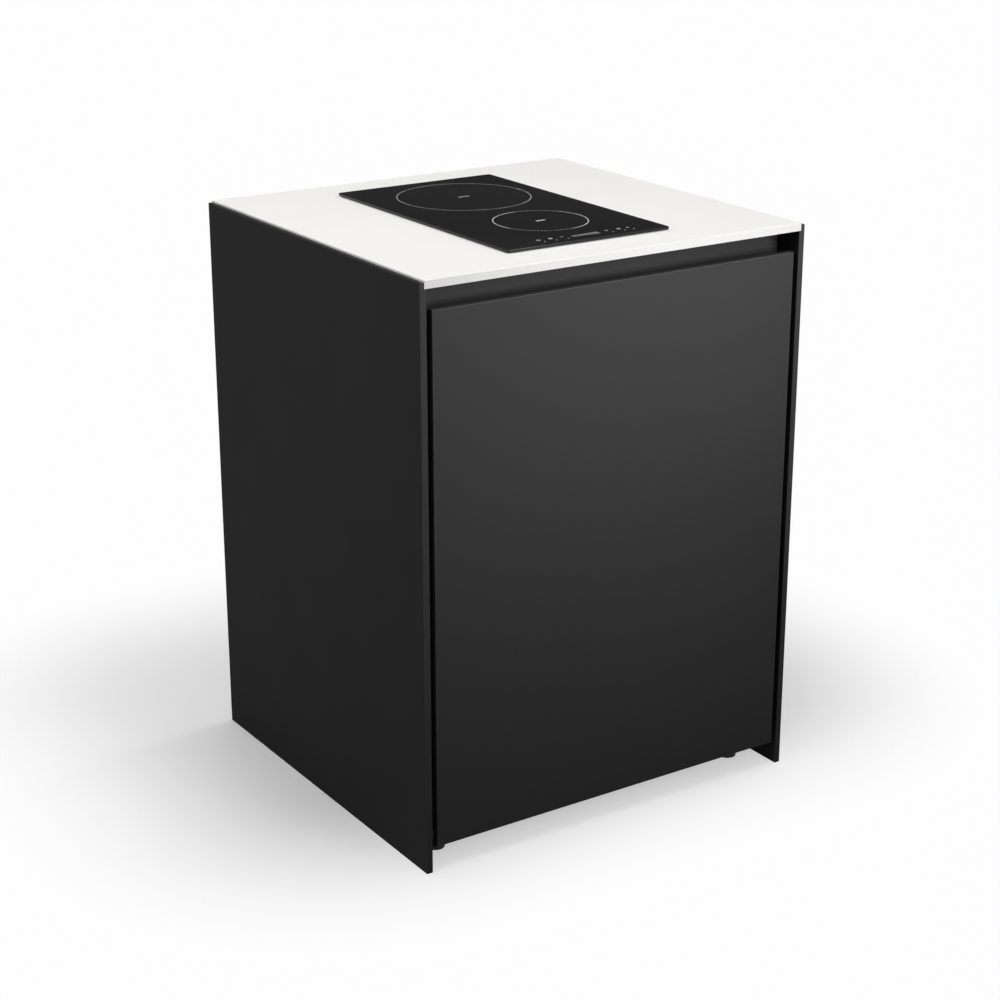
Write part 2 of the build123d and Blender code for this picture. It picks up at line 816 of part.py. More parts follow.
# Rubber seal on the leaf's back, all round the cabinet's opening
seal_outer = opening_half + seal_flange_inset + seal_w
seal_z = (skirt_bottom + 2 * seal_flange_inset, rail_bottom + seal_flange_inset + seal_w)
with BuildPart() as door_seal:
    with BuildSketch(Plane.XZ.offset(-door_back)):
        with Locations((0, (seal_z[0] + seal_z[1]) / 2)):
            RectangleRounded(2 * seal_outer, seal_z[1] - seal_z[0], seal_w)
            Rectangle(2 * (seal_outer - seal_w), seal_z[1] - seal_z[0] - 2 * seal_w, mode=Mode.SUBTRACT)
    extrude(amount=-(carcass_front - door_back - seal_clear))
door_seal.part.label = "door_seal"
export_step(door_seal.part, "parts/door_seal.step")

# Magnetic catch on the left front flange, and its strike plate on the leaf
catch_x = (-seal_outer - catch_seal_gap - catch_w, -seal_outer - catch_seal_gap)
catch_z = (catch_height - catch_length / 2, catch_height + catch_length / 2)
catch_front = door_back + strike_t + catch_gap
magnet_x = (catch_x[0] + magnet_side_wall, catch_x[1] - magnet_side_wall)
magnet_z = (catch_z[0] + magnet_end_wall, catch_z[1] - magnet_end_wall)
with BuildPart() as magnet_housing:
    span_box(catch_x, (catch_front, carcass_front), catch_z)
    span_box(magnet_x, (catch_front, catch_front + magnet_t), magnet_z, mode=Mode.SUBTRACT)
magnet_housing.part.label = "magnet_housing"
export_step(magnet_housing.part, "parts/magnet_housing.step")

with BuildPart() as catch_magnet:
    span_box(magnet_x, (catch_front, catch_front + magnet_t), magnet_z)
catch_magnet.part.label = "catch_magnet"
export_step(catch_magnet.part, "parts/catch_magnet.step")

with BuildPart() as door_strike_plate:
    span_box(catch_x, (door_back, door_back + strike_t), catch_z)
door_strike_plate.part.label = "door_strike_plate"
export_step(door_strike_plate.part, "parts/door_strike_plate.step")

# Hob glass, lying on a foam gasket on the slab
with BuildPart() as hob_glass:
    with BuildSketch(Plane.XY.offset(glass_z)):
        with Locations((hob_x, hob_y)):
            RectangleRounded(hob_w, hob_d, glass_corner_r)
    extrude(amount=glass_t)
    chamfer(hob_glass.faces().sort_by(Axis.Z)[-1].edges(), glass_bevel)
hob_glass.part.label = "hob_glass"
export_step(hob_glass.part, "parts/hob_glass.step")

with BuildPart() as hob_gasket:
    with BuildSketch(Plane.XY.offset(worktop_height)):
        with Locations((hob_x, hob_y)):
            Rectangle(hob_w - 2 * gasket_inset, hob_d - 2 * gasket_inset)
            Rectangle(
                hob_w - 2 * (gasket_inset + gasket_w),
                hob_d - 2 * (gasket_inset + gasket_w),
                mode=Mode.SUBTRACT,
            )
    extrude(amount=gasket_t)
hob_gasket.part.label = "hob_gasket"
export_step(hob_gasket.part, "parts/hob_gasket.step")

# Hob casing: a folded tray that hangs from the glass through the cut-out
pip_places = [
    (x, y)
    for x in (board_x[0] + pip_inset, board_x[1] - pip_inset)
    for y in (board_y[0] + pip_inset, board_y[1] - pip_inset)
]
cable_inlet = (sum(terminal_x) / 2, casing_back, casing_floor + cable_clamp_rise)
with BuildPart() as hob_casing:
    with BuildSketch(Plane.XY.offset(casing_z)):
        with Locations((hob_x, hob_y)):
            RectangleRounded(casing_w, casing_d, casing_corner_r)
    extrude(amount=casing_h)
    with BuildSketch(Plane.XY.offset(casing_floor)):
        with Locations((hob_x, hob_y)):
            RectangleRounded(casing_w - 2 * casing_t, casing_d - 2 * casing_t, casing_corner_r - casing_t)
    extrude(amount=casing_h, mode=Mode.SUBTRACT)
    for x, y in pip_places:
        rod((x, y, casing_floor), (0, 0, 1), pip_r, board_rise)
    # air inlet under the fan, cut as rows that shorten towards the rim
    grille_rows = int(fan_bore_r / grille_pitch)
    for row in range(-grille_rows, grille_rows + 1):
        row_y = row * grille_pitch
        row_length = 2 * math.sqrt(fan_bore_r**2 - row_y**2) - grille_slot_w
        if row_length > 2 * grille_slot_w:
            with BuildSketch(Plane.XY.offset(casing_z)):
                with Locations((fan_centre[0], fan_centre[1] + row_y)):
                    SlotOverall(row_length, grille_slot_w)
            extrude(amount=casing_t, mode=Mode.SUBTRACT)
    # air outlet in the rear wall
    with BuildSketch(Plane.XZ.offset(-casing_back)):
        with Locations((hob_x + casing_vent_x, casing_z + casing_h / 3)):
            with GridLocations(casing_vent_pitch, 0, casing_vents, 1):
                SlotOverall(casing_vent_l, casing_vent_w, rotation=90)
    extrude(amount=casing_t, mode=Mode.SUBTRACT)
    rod(cable_inlet, (0, -1, 0), cable_bore_r, casing_t, mode=Mode.SUBTRACT)
    for x, inward in ((casing_left, 1), (casing_right, -1)):
        for y in clamp_rows:
            rod(
                (x, y, slab_z - clamp_screw_drop),
                (inward, 0, 0),
                clamp_screw_r + screw_clear,
                casing_t,
                mode=Mode.SUBTRACT,
            )
hob_casing.part.label = "hob_casing"
export_step(hob_casing.part, "parts/hob_casing.step")

# Clips that pull the hob down against the slab's underside, and their screws
with BuildPart() as hob_clamps:
    for edge, outward in ((casing_left, -1), (casing_right, 1)):
        for y in clamp_rows:
            clip_y = (y - clamp_w / 2, y + clamp_w / 2)
            span_box((edge, edge + outward * clamp_t), clip_y, (slab_z - clamp_drop, slab_z))
            span_box((edge, edge + outward * clamp_reach), clip_y, (slab_z - clamp_t, slab_z))
            rod(
                (edge, y, slab_z - clamp_screw_drop),
                (outward, 0, 0),
                clamp_screw_r + screw_clear,
                clamp_t,
                mode=Mode.SUBTRACT,
            )
hob_clamps.part.label = "hob_clamps"
export_step(hob_clamps.part, "parts/hob_clamps.step")

with BuildPart() as hob_clamp_screws:
    for edge, outward in ((casing_left, -1), (casing_right, 1)):
        for y in clamp_rows:
            seat = (edge + outward * clamp_t, y, slab_z - clamp_screw_drop)
            rod(seat, (outward, 0, 0), 2 * clamp_screw_r, clamp_t)
            rod(seat, (-outward, 0, 0), clamp_screw_r, clamp_screw_l)
hob_clamp_screws.part.label = "hob_clamp_screws"
export_step(hob_clamp_screws.part, "parts/hob_clamp_screws.step")

# Induction coils: flat windings over ferrite bars on aluminium plates
for zone, (x, y, coil_r, bars) in zones.items():
    with BuildPart() as coil:
        rod((x, y, coil_z), (0, 0, 1), coil_r, coil_t)
        rod((x, y, coil_z), (0, 0, 1), coil_eye_r, coil_t, mode=Mode.SUBTRACT)
    coil.part.label = f"{zone}_coil"
    export_step(coil.part, f"parts/{zone}_coil.step")

with BuildPart() as coil_ferrites:
    for x, y, coil_r, bars in zones.values():
        bar_length = coil_r - coil_eye_r
        with Locations((x, y, ferrite_z + ferrite_t / 2)):
            with PolarLocations((coil_r + coil_eye_r) / 2, bars):
                Box(bar_length, ferrite_w, ferrite_t)
coil_ferrites.part.label = "coil_ferrites"
export_step(coil_ferrites.part, "parts/coil_ferrites.step")

with BuildPart() as coil_plates:
    for x, y, coil_r, bars in zones.values():
        rod((x, y, coil_plate_z), (0, 0, 1), coil_r + coil_plate_margin, coil_plate_t)
coil_plates.part.label = "coil_plates"
export_step(coil_plates.part, "parts/coil_plates.step")

with BuildPart() as coil_posts:
    for x, y, coil_r, bars in zones.values():
        with Locations((x, y, casing_floor)):
            with PolarLocations(coil_r - post_inset, 3):
                Cylinder(post_r, coil_plate_z - casing_floor, align=(Align.CENTER, Align.CENTER, Align.MIN))
coil_posts.part.label = "coil_posts"
export_step(coil_posts.part, "parts/coil_posts.step")

with BuildPart() as coil_sensors:
    for x, y, coil_r, bars in zones.values():
        rod((x, y, ferrite_z), (0, 0, 1), sensor_r, glass_z - ferrite_z)
coil_sensors.part.label = "coil_sensors"
export_step(coil_sensors.part, "parts/coil_sensors.step")

# Power electronics on the casing's pips
with BuildPart() as power_board:
    span_box(board_x, board_y, (board_z, board_top))
    for x, y, coil_r, bars in zones.values():
        with Locations((x, y, board_z + board_t / 2)):
            with PolarLocations(coil_r - post_inset, 3):
                Cylinder(post_r + post_hole_clear, board_t, mode=Mode.SUBTRACT)
power_board.part.label = "power_board"
export_step(power_board.part, "parts/power_board.step")

with BuildPart() as heat_sink:
    sink_right = board_x[1] - sink_inset
    sink_left = sink_right - sink_w
    sink_y = (hob_y - sink_l / 2, hob_y + sink_l / 2)
    span_box((sink_left, sink_right), sink_y, (board_top, board_top + sink_base_t))
    for fin_left in spread(sink_left, sink_right - sink_fin_t, sink_fins):
        span_box((fin_left, fin_left + sink_fin_t), sink_y, (board_top, board_top + sink_h))
heat_sink.part.label = "heat_sink"
export_step(heat_sink.part, "parts/heat_sink.step")

with BuildPart() as board_capacitors:
    for number in range(capacitor_count):
        row_y = (number - (capacitor_count - 1) / 2) * capacitor_pitch
        rod((hob_x + capacitor_x, hob_y + row_y, board_top), (0, 0, 1), capacitor_r, capacitor_h)
board_capacitors.part.label = "board_capacitors"
export_step(board_capacitors.part, "parts/board_capacitors.step")

# Touch controls: a tray on the casing's front wall, the board in it and its contact springs
tray_z = glass_z - control_tray_drop
control_board_z = tray_z + control_tray_t
control_x = (hob_x - control_w / 2, hob_x + control_w / 2)
touch_x = (control_x[0] + control_tray_t, control_x[1] - control_tray_t)
touch_y = (control_y[0] + control_tray_t, control_y[1] - control_tray_t)
with BuildPart() as control_tray:
    span_box(control_x, control_y, (tray_z, tray_z + control_tray_h))
    span_box(touch_x, touch_y, (control_board_z, tray_z + control_tray_h), mode=Mode.SUBTRACT)
control_tray.part.label = "control_tray"
export_step(control_tray.part, "parts/control_tray.step")

with BuildPart() as touch_board:
    span_box(touch_x, touch_y, (control_board_z, control_board_z + board_t))
touch_board.part.label = "touch_board"
export_step(touch_board.part, "parts/touch_board.step")

with BuildPart() as touch_springs:
    for key_x in touch_keys_x:
        rod(
            (hob_x + key_x, sum(touch_y) / 2, control_board_z + board_t),
            (0, 0, 1),
            touch_spring_r,
            glass_z - control_board_z - board_t,
        )
touch_springs.part.label = "touch_springs"
export_step(touch_springs.part, "parts/touch_springs.step")

# Supply terminals and the cable inlet in the casing's rear wall
with BuildPart() as terminal_block:
    span_box(terminal_x, terminal_y, (casing_floor, casing_floor + terminal_h))
    with BuildSketch(Plane.XY.offset(casing_floor + terminal_h)):
        with Locations((sum(terminal_x) / 2, sum(terminal_y) / 2)):
            with GridLocations(terminal_pitch, terminal_pitch, 5, 2):
                Circle(terminal_hole_r)
    extrude(amount=-terminal_h / 2, mode=Mode.SUBTRACT)
terminal_block.part.label = "terminal_block"
export_step(terminal_block.part, "parts/terminal_block.step")

with BuildPart() as cable_clamp:
    rod(cable_inlet, (0, 1, 0), cable_clamp_r, cable_clamp_l)
    rod(cable_inlet, (0, 1, 0), cable_bore_r, cable_clamp_l, mode=Mode.SUBTRACT)
cable_clamp.part.label = "cable_clamp"
export_step(cable_clamp.part, "parts/cable_clamp.step")

# Cooling fan: a frame with a bearing sleeve, and an impeller on its shaft
fan_plate_top = casing_floor + fan_plate_t
with BuildPart() as fan_housing:
    with BuildSketch(Plane.XY.offset(casing_floor)):
        with Locations(fan_centre):
            RectangleRounded(fan_size, fan_size, 2 * grille_slot_w)
            Circle(fan_bore_r, mode=Mode.SUBTRACT)
    extrude(amount=fan_h)
    with BuildSketch(Plane.XY.offset(casing_floor)):
        with Locations(fan_centre):
            Circle(fan_hub_r)
            Rectangle(2 * fan_bore_r + fan_plate_t, fan_strut_w)
            Rectangle(fan_strut_w, 2 * fan_bore_r + fan_plate_t)
    extrude(amount=fan_plate_t)
    rod((*fan_centre, fan_plate_top), (0, 0, 1), fan_sleeve_r, bearing_h)
    rod((*fan_centre, fan_plate_top), (0, 0, 1), bearing_r + screw_clear, bearing_h, mode=Mode.SUBTRACT)
fan_housing.part.label = "fan_housing"
export_step(fan_housing.part, "parts/fan_housing.step")

with BuildPart() as fan_bearing:
    rod((*fan_centre, fan_plate_top), (0, 0, 1), bearing_r, bearing_h)
    rod(
        (*fan_centre, fan_plate_top),
        (0, 0, 1),
        fan_shaft_r + fan_shaft_clear,
        bearing_h,
        mode=Mode.SUBTRACT,
    )
fan_bearing.part.label = "fan_bearing"
export_step(fan_bearing.part, "parts/fan_bearing.step")

hub_bottom = fan_plate_top + fan_end_play
hub_cap = fan_plate_top + bearing_h + fan_end_play
hub_top = fan_top - fan_end_play
with BuildPart() as fan_impeller:
    rod((*fan_centre, hub_bottom), (0, 0, 1), fan_hub_r, hub_top - hub_bottom)
    rod(
        (*fan_centre, hub_bottom),
        (0, 0, 1),
        fan_hub_r - fan_hub_wall,
        hub_cap - hub_bottom,
        mode=Mode.SUBTRACT,
    )
    blade_reach = fan_blade_r - fan_hub_r + fan_hub_wall / 2
    blade_middle = fan_blade_r - blade_reach / 2
    with Locations((*fan_centre, (hub_bottom + hub_top) / 2)):
        with PolarLocations(blade_middle, fan_blades):
            Box(blade_reach, fan_blade_t, fan_blade_h, rotation=(fan_blade_tilt, 0, 0))
    rod((*fan_centre, hub_cap), (0, 0, 1), fan_shaft_r, hub_top - hub_cap, mode=Mode.SUBTRACT)
fan_impeller.part.label = "fan_impeller"
export_step(fan_impeller.part, "parts/fan_impeller.step")

with BuildPart() as fan_shaft:
    rod((*fan_centre, hub_bottom), (0, 0, 1), fan_shaft_r, hub_top - hub_bottom)
fan_shaft.part.label = "fan_shaft"
export_step(fan_shaft.part, "parts/fan_shaft.step")
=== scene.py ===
import json
import math

import bmesh
import bpy
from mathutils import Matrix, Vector


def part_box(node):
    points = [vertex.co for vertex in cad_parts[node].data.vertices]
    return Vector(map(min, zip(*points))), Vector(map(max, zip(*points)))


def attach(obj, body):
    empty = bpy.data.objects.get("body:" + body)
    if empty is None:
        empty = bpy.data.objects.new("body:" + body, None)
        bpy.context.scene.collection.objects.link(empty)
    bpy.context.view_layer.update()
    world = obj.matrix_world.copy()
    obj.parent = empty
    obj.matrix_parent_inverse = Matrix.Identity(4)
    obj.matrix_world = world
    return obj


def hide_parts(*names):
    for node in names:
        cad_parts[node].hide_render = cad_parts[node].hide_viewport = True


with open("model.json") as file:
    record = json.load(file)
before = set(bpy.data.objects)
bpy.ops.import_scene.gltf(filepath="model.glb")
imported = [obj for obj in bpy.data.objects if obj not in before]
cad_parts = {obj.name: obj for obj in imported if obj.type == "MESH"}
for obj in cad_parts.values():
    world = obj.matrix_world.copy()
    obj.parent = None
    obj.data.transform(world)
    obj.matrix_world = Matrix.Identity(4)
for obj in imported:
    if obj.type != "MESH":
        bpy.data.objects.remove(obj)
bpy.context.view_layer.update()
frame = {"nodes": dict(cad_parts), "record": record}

mm = 0.001
plainWhite = (1, 1, 1, 1)
nodes = frame["nodes"]
slotOf = {part["node"]: part["material_slot"] for part in frame["record"]["subparts"]}
print("packed model loaded, nodes:", len(nodes))


# Studio: camera, floor, world and lamps

cameraSettings = {
    "place": (-1.80065, -2.73038, 1.58475),
    "azimuth": -33.409,
    "elevation": 19.479,
    "lens": 77.31,
    "sensorWidth": 36,
    "farEnd": 200,
}


def makeCamera(settings):
    data = bpy.data.cameras.new("studioCamera")
    data.lens = settings["lens"]
    data.sensor_width = settings["sensorWidth"]
    data.clip_end = settings["farEnd"]
    camera = bpy.data.objects.new("studioCamera", data)
    bpy.context.scene.collection.objects.link(camera)
    turn = math.radians(settings["azimuth"])
    rise = math.radians(settings["elevation"])
    back = Vector((math.sin(turn) * math.cos(rise), -math.cos(turn) * math.cos(rise), math.sin(rise)))
    camera.location = settings["place"]
    camera.rotation_euler = back.to_track_quat("Z", "Y").to_euler()
    bpy.context.scene.camera = camera


def feed(tree, socket, value):  # links the output of another node, or sets a plain value
    if isinstance(value, bpy.types.NodeSocket):
        tree.links.new(value, socket)
    else:
        socket.default_value = value


def newNode(tree, kind, sockets, values):
    node = tree.nodes.new(kind)
    for name, value in values.items():
        setattr(node, name, value)
    for key, value in sockets.items():
        feed(tree, node.inputs[key], value)
    return node


def addNode(tree, kind, sockets=None, **values):
    return newNode(tree, "ShaderNode" + kind, sockets or {}, values)


def calc(tree, operation, *terms, clamp=False):
    return addNode(tree, "Math", dict(enumerate(terms)), operation=operation, use_clamp=clamp).outputs[0]


def vectorCalc(tree, operation, *terms):
    return addNode(tree, "VectorMath", dict(enumerate(terms)), operation=operation).outputs[0]


def mixColor(tree, share, first, second):
    node = addNode(tree, "Mix", data_type="RGBA")
    for key, value in (("Factor", share), ("A", first), ("B", second)):
        socket = [s for s in node.inputs if s.name == key and (key == "Factor" or s.type == "RGBA")][0]
        feed(tree, socket, value)
    return [s for s in node.outputs if s.type == "RGBA"][0]


def remap(tree, value, given, wanted, kind="SMOOTHSTEP"):  # given and wanted are pairs, low and high
    return addNode(tree, "MapRange", {
        "Value": value,
        "From Min": given[0],
        "From Max": given[1],
        "To Min": wanted[0],
        "To Max": wanted[1],
    }, interpolation_type=kind).outputs["Result"]


def emptyTree(owner):
    owner.use_nodes = True
    owner.node_tree.nodes.clear()
    return owner.node_tree


def seenDirectly(tree):  # 1 for camera, glossy and transmission rays
    path = addNode(tree, "LightPath").outputs
    seen = calc(tree, "ADD", path["Is Camera Ray"], path["Is Glossy Ray"])
    return calc(tree, "ADD", seen, path["Is Transmission Ray"], clamp=True)


floorSettings = {
    "reach": 40.0,
    "paper": (0.97, 0.97, 0.97, 1),
    "bounce": (0.15, 0.15, 0.15, 1),  # what the floor gives back to the module
    "glow": 0.09,  # evens out the lit paper near the module
    "white": 0.985,  # what the camera sees far from the module
    # the paper keeps its shade around this box, and turns to plain white further out
    "shadeCentre": (0.05, 0.24, 0),
    "shadeHalf": (0.34, 0.21, 1),
    "fade": (0.05, 0.55),
}


def makeFloor(settings):
    mesh = bpy.data.meshes.new("studioFloor")
    r = settings["reach"]
    mesh.from_pydata([(-r, -r, 0), (r, -r, 0), (r, r, 0), (-r, r, 0)], [], [(0, 1, 2, 3)])
    floor = bpy.data.objects.new("studioFloor", mesh)
    bpy.context.scene.collection.objects.link(floor)
    material = bpy.data.materials.new("studioFloor")
    tree = emptyTree(material)
    place = addNode(tree, "TexCoord").outputs["Object"]
    offset = vectorCalc(tree, "SUBTRACT", place, settings["shadeCentre"])
    outside = vectorCalc(tree, "SUBTRACT", vectorCalc(tree, "ABSOLUTE", offset), settings["shadeHalf"])
    outside = vectorCalc(tree, "MAXIMUM", outside, (0, 0, 0))
    distance = addNode(tree, "VectorMath", {0: outside}, operation="LENGTH").outputs["Value"]
    share = remap(tree, distance, settings["fade"], (0.0, 1.0))
    seen = seenDirectly(tree)
    paperColor = mixColor(tree, seen, settings["bounce"], settings["paper"])
    paper = addNode(tree, "BsdfDiffuse", {"Color": paperColor})
    strength = calc(tree, "MULTIPLY", seen, settings["glow"])
    glow = addNode(tree, "Emission", {"Color": plainWhite, "Strength": strength})
    paper = addNode(tree, "AddShader", {0: paper.outputs[0], 1: glow.outputs[0]})
    white = addNode(tree, "Emission", {"Color": plainWhite, "Strength": settings["white"]})
    blend = addNode(tree, "MixShader", {
        0: calc(tree, "MULTIPLY", seen, share),
        1: paper.outputs[0],
        2: white.outputs[0],
    })
    # seen from below, the floor is clear and doesn't hide the underside
    clear = addNode(tree, "BsdfTransparent")
    below = addNode(tree, "NewGeometry").outputs["Backfacing"]
    surface = addNode(tree, "MixShader", {0: below, 1: blend.outputs[0], 2: clear.outputs[0]})
    addNode(tree, "OutputMaterial", {"Surface": surface.outputs[0]})
    mesh.materials.append(material)


worldSettings = {
    "fill": 0.055,
    "white": 0.985,
    # polished faces see a dark studio wall below the first height and white above the second, as sines
    "wallHeights": (0.3, 0.9),
    "wall": 0.04,
}


def makeWorld(settings):
    world = bpy.data.worlds.new("studioWorld")
    bpy.context.scene.world = world
    tree = emptyTree(world)
    direction = addNode(tree, "TexCoord").outputs["Generated"]
    height = addNode(tree, "SeparateXYZ", {0: direction}).outputs[2]
    studio = remap(tree, height, settings["wallHeights"], (settings["wall"], settings["white"]))
    fill = addNode(tree, "Background", {"Color": plainWhite, "Strength": settings["fill"]})
    white = addNode(tree, "Background", {"Color": plainWhite, "Strength": settings["white"]})
    walls = addNode(tree, "Background", {"Color": plainWhite, "Strength": studio})
    path = addNode(tree, "LightPath").outputs
    blend = addNode(tree, "MixShader", {0: seenDirectly(tree), 1: fill.outputs[0], 2: white.outputs[0]})
    blend = addNode(tree, "MixShader", {0: path["Is Glossy Ray"], 1: blend.outputs[0], 2: walls.outputs[0]})
    addNode(tree, "OutputWorld", {"Surface": blend.outputs[0]})


lampSettings = {  # the spread is in degrees, and a narrow one keeps a lamp off the rest
    "topSoftbox": {
        "place": (-0.1, 0.3, 3.3), "aim": (0, 0, 0.9), "size": 3.4, "spread": 180, "power": 68,
    },
    "leftSoftbox": {
        "place": (-2.0, -0.45, 1.9), "aim": (-0.33, 0, 0.95), "size": 1.0, "spread": 100, "power": 4.8,
    },
    "frontSoftbox": {
        "place": (0.41, -1.75, 1.25), "aim": (0.08, -0.32, 1.1), "size": 0.8, "spread": 70, "power": 4.35,
    },
    "rightSoftbox": {  # not seen from the front, it keeps the right panel readable
        "place": (2.2, 0.25, 0.95), "aim": (0.34, 0, 0.5), "size": 1.0, "spread": 50, "power": 2.6,
    },
    "backSoftbox": {  # the same for the back
        "place": (0, 2.3, 0.75), "aim": (0, 0.32, 0.7), "size": 0.7, "spread": 40, "power": 1.5,
    },
}


def makeLamps(lamps):
    for name, settings in lamps.items():
        data = bpy.data.lights.new(name, "AREA")
        data.shape = "SQUARE"
        data.size = settings["size"]
        data.spread = math.radians(settings["spread"])
        data.energy = settings["power"]
        lamp = bpy.data.objects.new(name, data)
        bpy.context.scene.collection.objects.link(lamp)
        lamp.location = settings["place"]
        away = Vector(settings["place"]) - Vector(settings["aim"])
        lamp.rotation_euler = away.to_track_quat("Z", "Y").to_euler()
        lamp.visible_camera = False


makeCamera(cameraSettings)
makeFloor(floorSettings)
makeWorld(worldSettings)
makeLamps(lampSettings)
bpy.context.scene.view_settings.view_transform = "Standard"
print("studio ready")


# Effects that several finishes share, as node groups

effectSettings = {
    # noise is (detail, roughness)
    "patchNoise": (4.0, 0.55),
    "grainNoise": (2.0, 0.6),
    "fineNoise": (3.0, 0.55),
    "lineNoise": (3.0, 0.7),
    "wearAndHighlightNoise": (4.0, 0.65),
    "grainShare": 0.5,  # of the shade's spread
    "finePatch": 0.31,  # of the patch size
    "wearAndHighlightBreakup": (0.3, 0.7),
    "wearAndHighlightLeft": (0.35, 1.0),
    "wearAndHighlightPatch": 0.03,
    "speckRim": (0.1, 0.45),  # of a cell, where a speck starts to fade and where it ends
}


def newGroup(name, inputs, outputs):
    group = bpy.data.node_groups.new(name, "ShaderNodeTree")
    for label, (kind, value) in inputs.items():
        socket = group.interface.new_socket(label, in_out="INPUT", socket_type="NodeSocket" + kind)
        socket.default_value = value
    for label, kind in outputs.items():
        group.interface.new_socket(label, in_out="OUTPUT", socket_type="NodeSocket" + kind)
    return group, group.nodes.new("NodeGroupInput").outputs, group.nodes.new("NodeGroupOutput")


def noise(tree, place, size, kind):
    detail, rough = effectSettings[kind]
    scale = calc(tree, "DIVIDE", 1.0, size)
    return addNode(tree, "TexNoise", {
        "Vector": place, "Scale": scale, "Detail": detail, "Roughness": rough,
    }).outputs["Fac"]


def centred(tree, value, spread):  # a noise value turned into a swing of plus or minus spread
    return calc(tree, "MULTIPLY", calc(tree, "SUBTRACT", value, 0.5), calc(tree, "MULTIPLY", spread, 2.0))


def makeSurfaceGrain():
    tree, given, result = newGroup("surfaceGrain", {
        "Place": ("Vector", (0, 0, 0)),
        "Color": ("Color", (0.5, 0.5, 0.5, 1)),
        "Shade Spread": ("Float", 0.1),
        "Patch Size": ("Float", 0.1),
        "Roughness": ("Float", 0.5),
        "Roughness Spread": ("Float", 0.05),
        "Grain Size": ("Float", 0.001),
    }, {"Color": "Color", "Roughness": "Float", "Height": "Float"})
    patches = noise(tree, given["Place"], given["Patch Size"], "patchNoise")
    grain = noise(tree, given["Place"], given["Grain Size"], "grainNoise")
    shade = calc(tree, "ADD", 1.0, centred(tree, patches, given["Shade Spread"]))
    grainSpread = calc(tree, "MULTIPLY", given["Shade Spread"], effectSettings["grainShare"])
    shade = calc(tree, "ADD", shade, centred(tree, grain, grainSpread))
    color = addNode(tree, "VectorMath", {0: given["Color"], "Scale": shade}, operation="SCALE").outputs[0]
    fineSize = calc(tree, "MULTIPLY", given["Patch Size"], effectSettings["finePatch"])
    fine = noise(tree, given["Place"], fineSize, "fineNoise")
    swing = centred(tree, fine, given["Roughness Spread"])
    roughness = calc(tree, "ADD", given["Roughness"], swing, clamp=True)
    tree.links.new(color, result.inputs["Color"])
    tree.links.new(roughness, result.inputs["Roughness"])
    tree.links.new(grain, result.inputs["Height"])
    return tree


# a mask along a box's edges, broken up by noise, for worn edges and a painted edge highlight
def makeBoxEdgeWearAndHighlight():
    tree, given, result = newGroup("boxEdgeWearAndHighlight", {
        "Place": ("Vector", (0, 0, 0)),
        "Low": ("Vector", (0, 0, 0)),
        "High": ("Vector", (1, 1, 1)),
        "Width": ("Float", 0.002),
        "Breakup Size": ("Float", 0.02),
    }, {"Mask": "Float"})
    below = vectorCalc(tree, "SUBTRACT", given["Place"], given["Low"])
    above = vectorCalc(tree, "SUBTRACT", given["High"], given["Place"])
    nearest = vectorCalc(tree, "MINIMUM", below, above)
    part = addNode(tree, "SeparateXYZ", {0: nearest}).outputs
    low = calc(tree, "MINIMUM", part[0], part[1])
    high = calc(tree, "MAXIMUM", part[0], part[1])
    # the middle one of the three distances is the distance to the nearest edge
    middle = calc(tree, "MAXIMUM", low, calc(tree, "MINIMUM", high, part[2]))
    edge = remap(tree, middle, (0.0, given["Width"]), (1.0, 0.0))
    breakup = noise(tree, given["Place"], given["Breakup Size"], "wearAndHighlightNoise")
    breakup = remap(tree, breakup, effectSettings["wearAndHighlightBreakup"], effectSettings["wearAndHighlightLeft"], "LINEAR")
    tree.links.new(calc(tree, "MULTIPLY", edge, breakup), result.inputs["Mask"])
    return tree


def makeStretchedLines():
    tree, given, result = newGroup("stretchedLines", {
        "Place": ("Vector", (0, 0, 0)),
        "Stretch": ("Vector", (1, 1, 1)),
        "Line Size": ("Float", 0.0006),
    }, {"Value": "Float"})
    place = vectorCalc(tree, "MULTIPLY", given["Place"], given["Stretch"])
    tree.links.new(noise(tree, place, given["Line Size"], "lineNoise"), result.inputs["Value"])
    return tree


def makeSpecks():
    tree, given, result = newGroup("specks", {
        "Place": ("Vector", (0, 0, 0)),
        "Speck Size": ("Float", 0.002),
        "Share": ("Float", 0.2),
    }, {"Mask": "Float"})
    scale = calc(tree, "DIVIDE", 1.0, given["Speck Size"])
    cells = addNode(tree, "TexVoronoi", {"Vector": given["Place"], "Scale": scale}, feature="F1").outputs
    lot = addNode(tree, "SeparateXYZ", {0: cells["Color"]}).outputs[0]
    picked = calc(tree, "LESS_THAN", lot, given["Share"])
    spot = remap(tree, cells["Distance"], effectSettings["speckRim"], (1.0, 0.0))
    tree.links.new(calc(tree, "MULTIPLY", picked, spot), result.inputs["Mask"])
    return tree


effects = {
    "grain": makeSurfaceGrain(),
    "wearAndHighlight": makeBoxEdgeWearAndHighlight(),
    "lines": makeStretchedLines(),
    "specks": makeSpecks(),
}


def useEffect(tree, name, sockets):
    return addNode(tree, "Group", sockets, node_tree=effects[name]).outputs
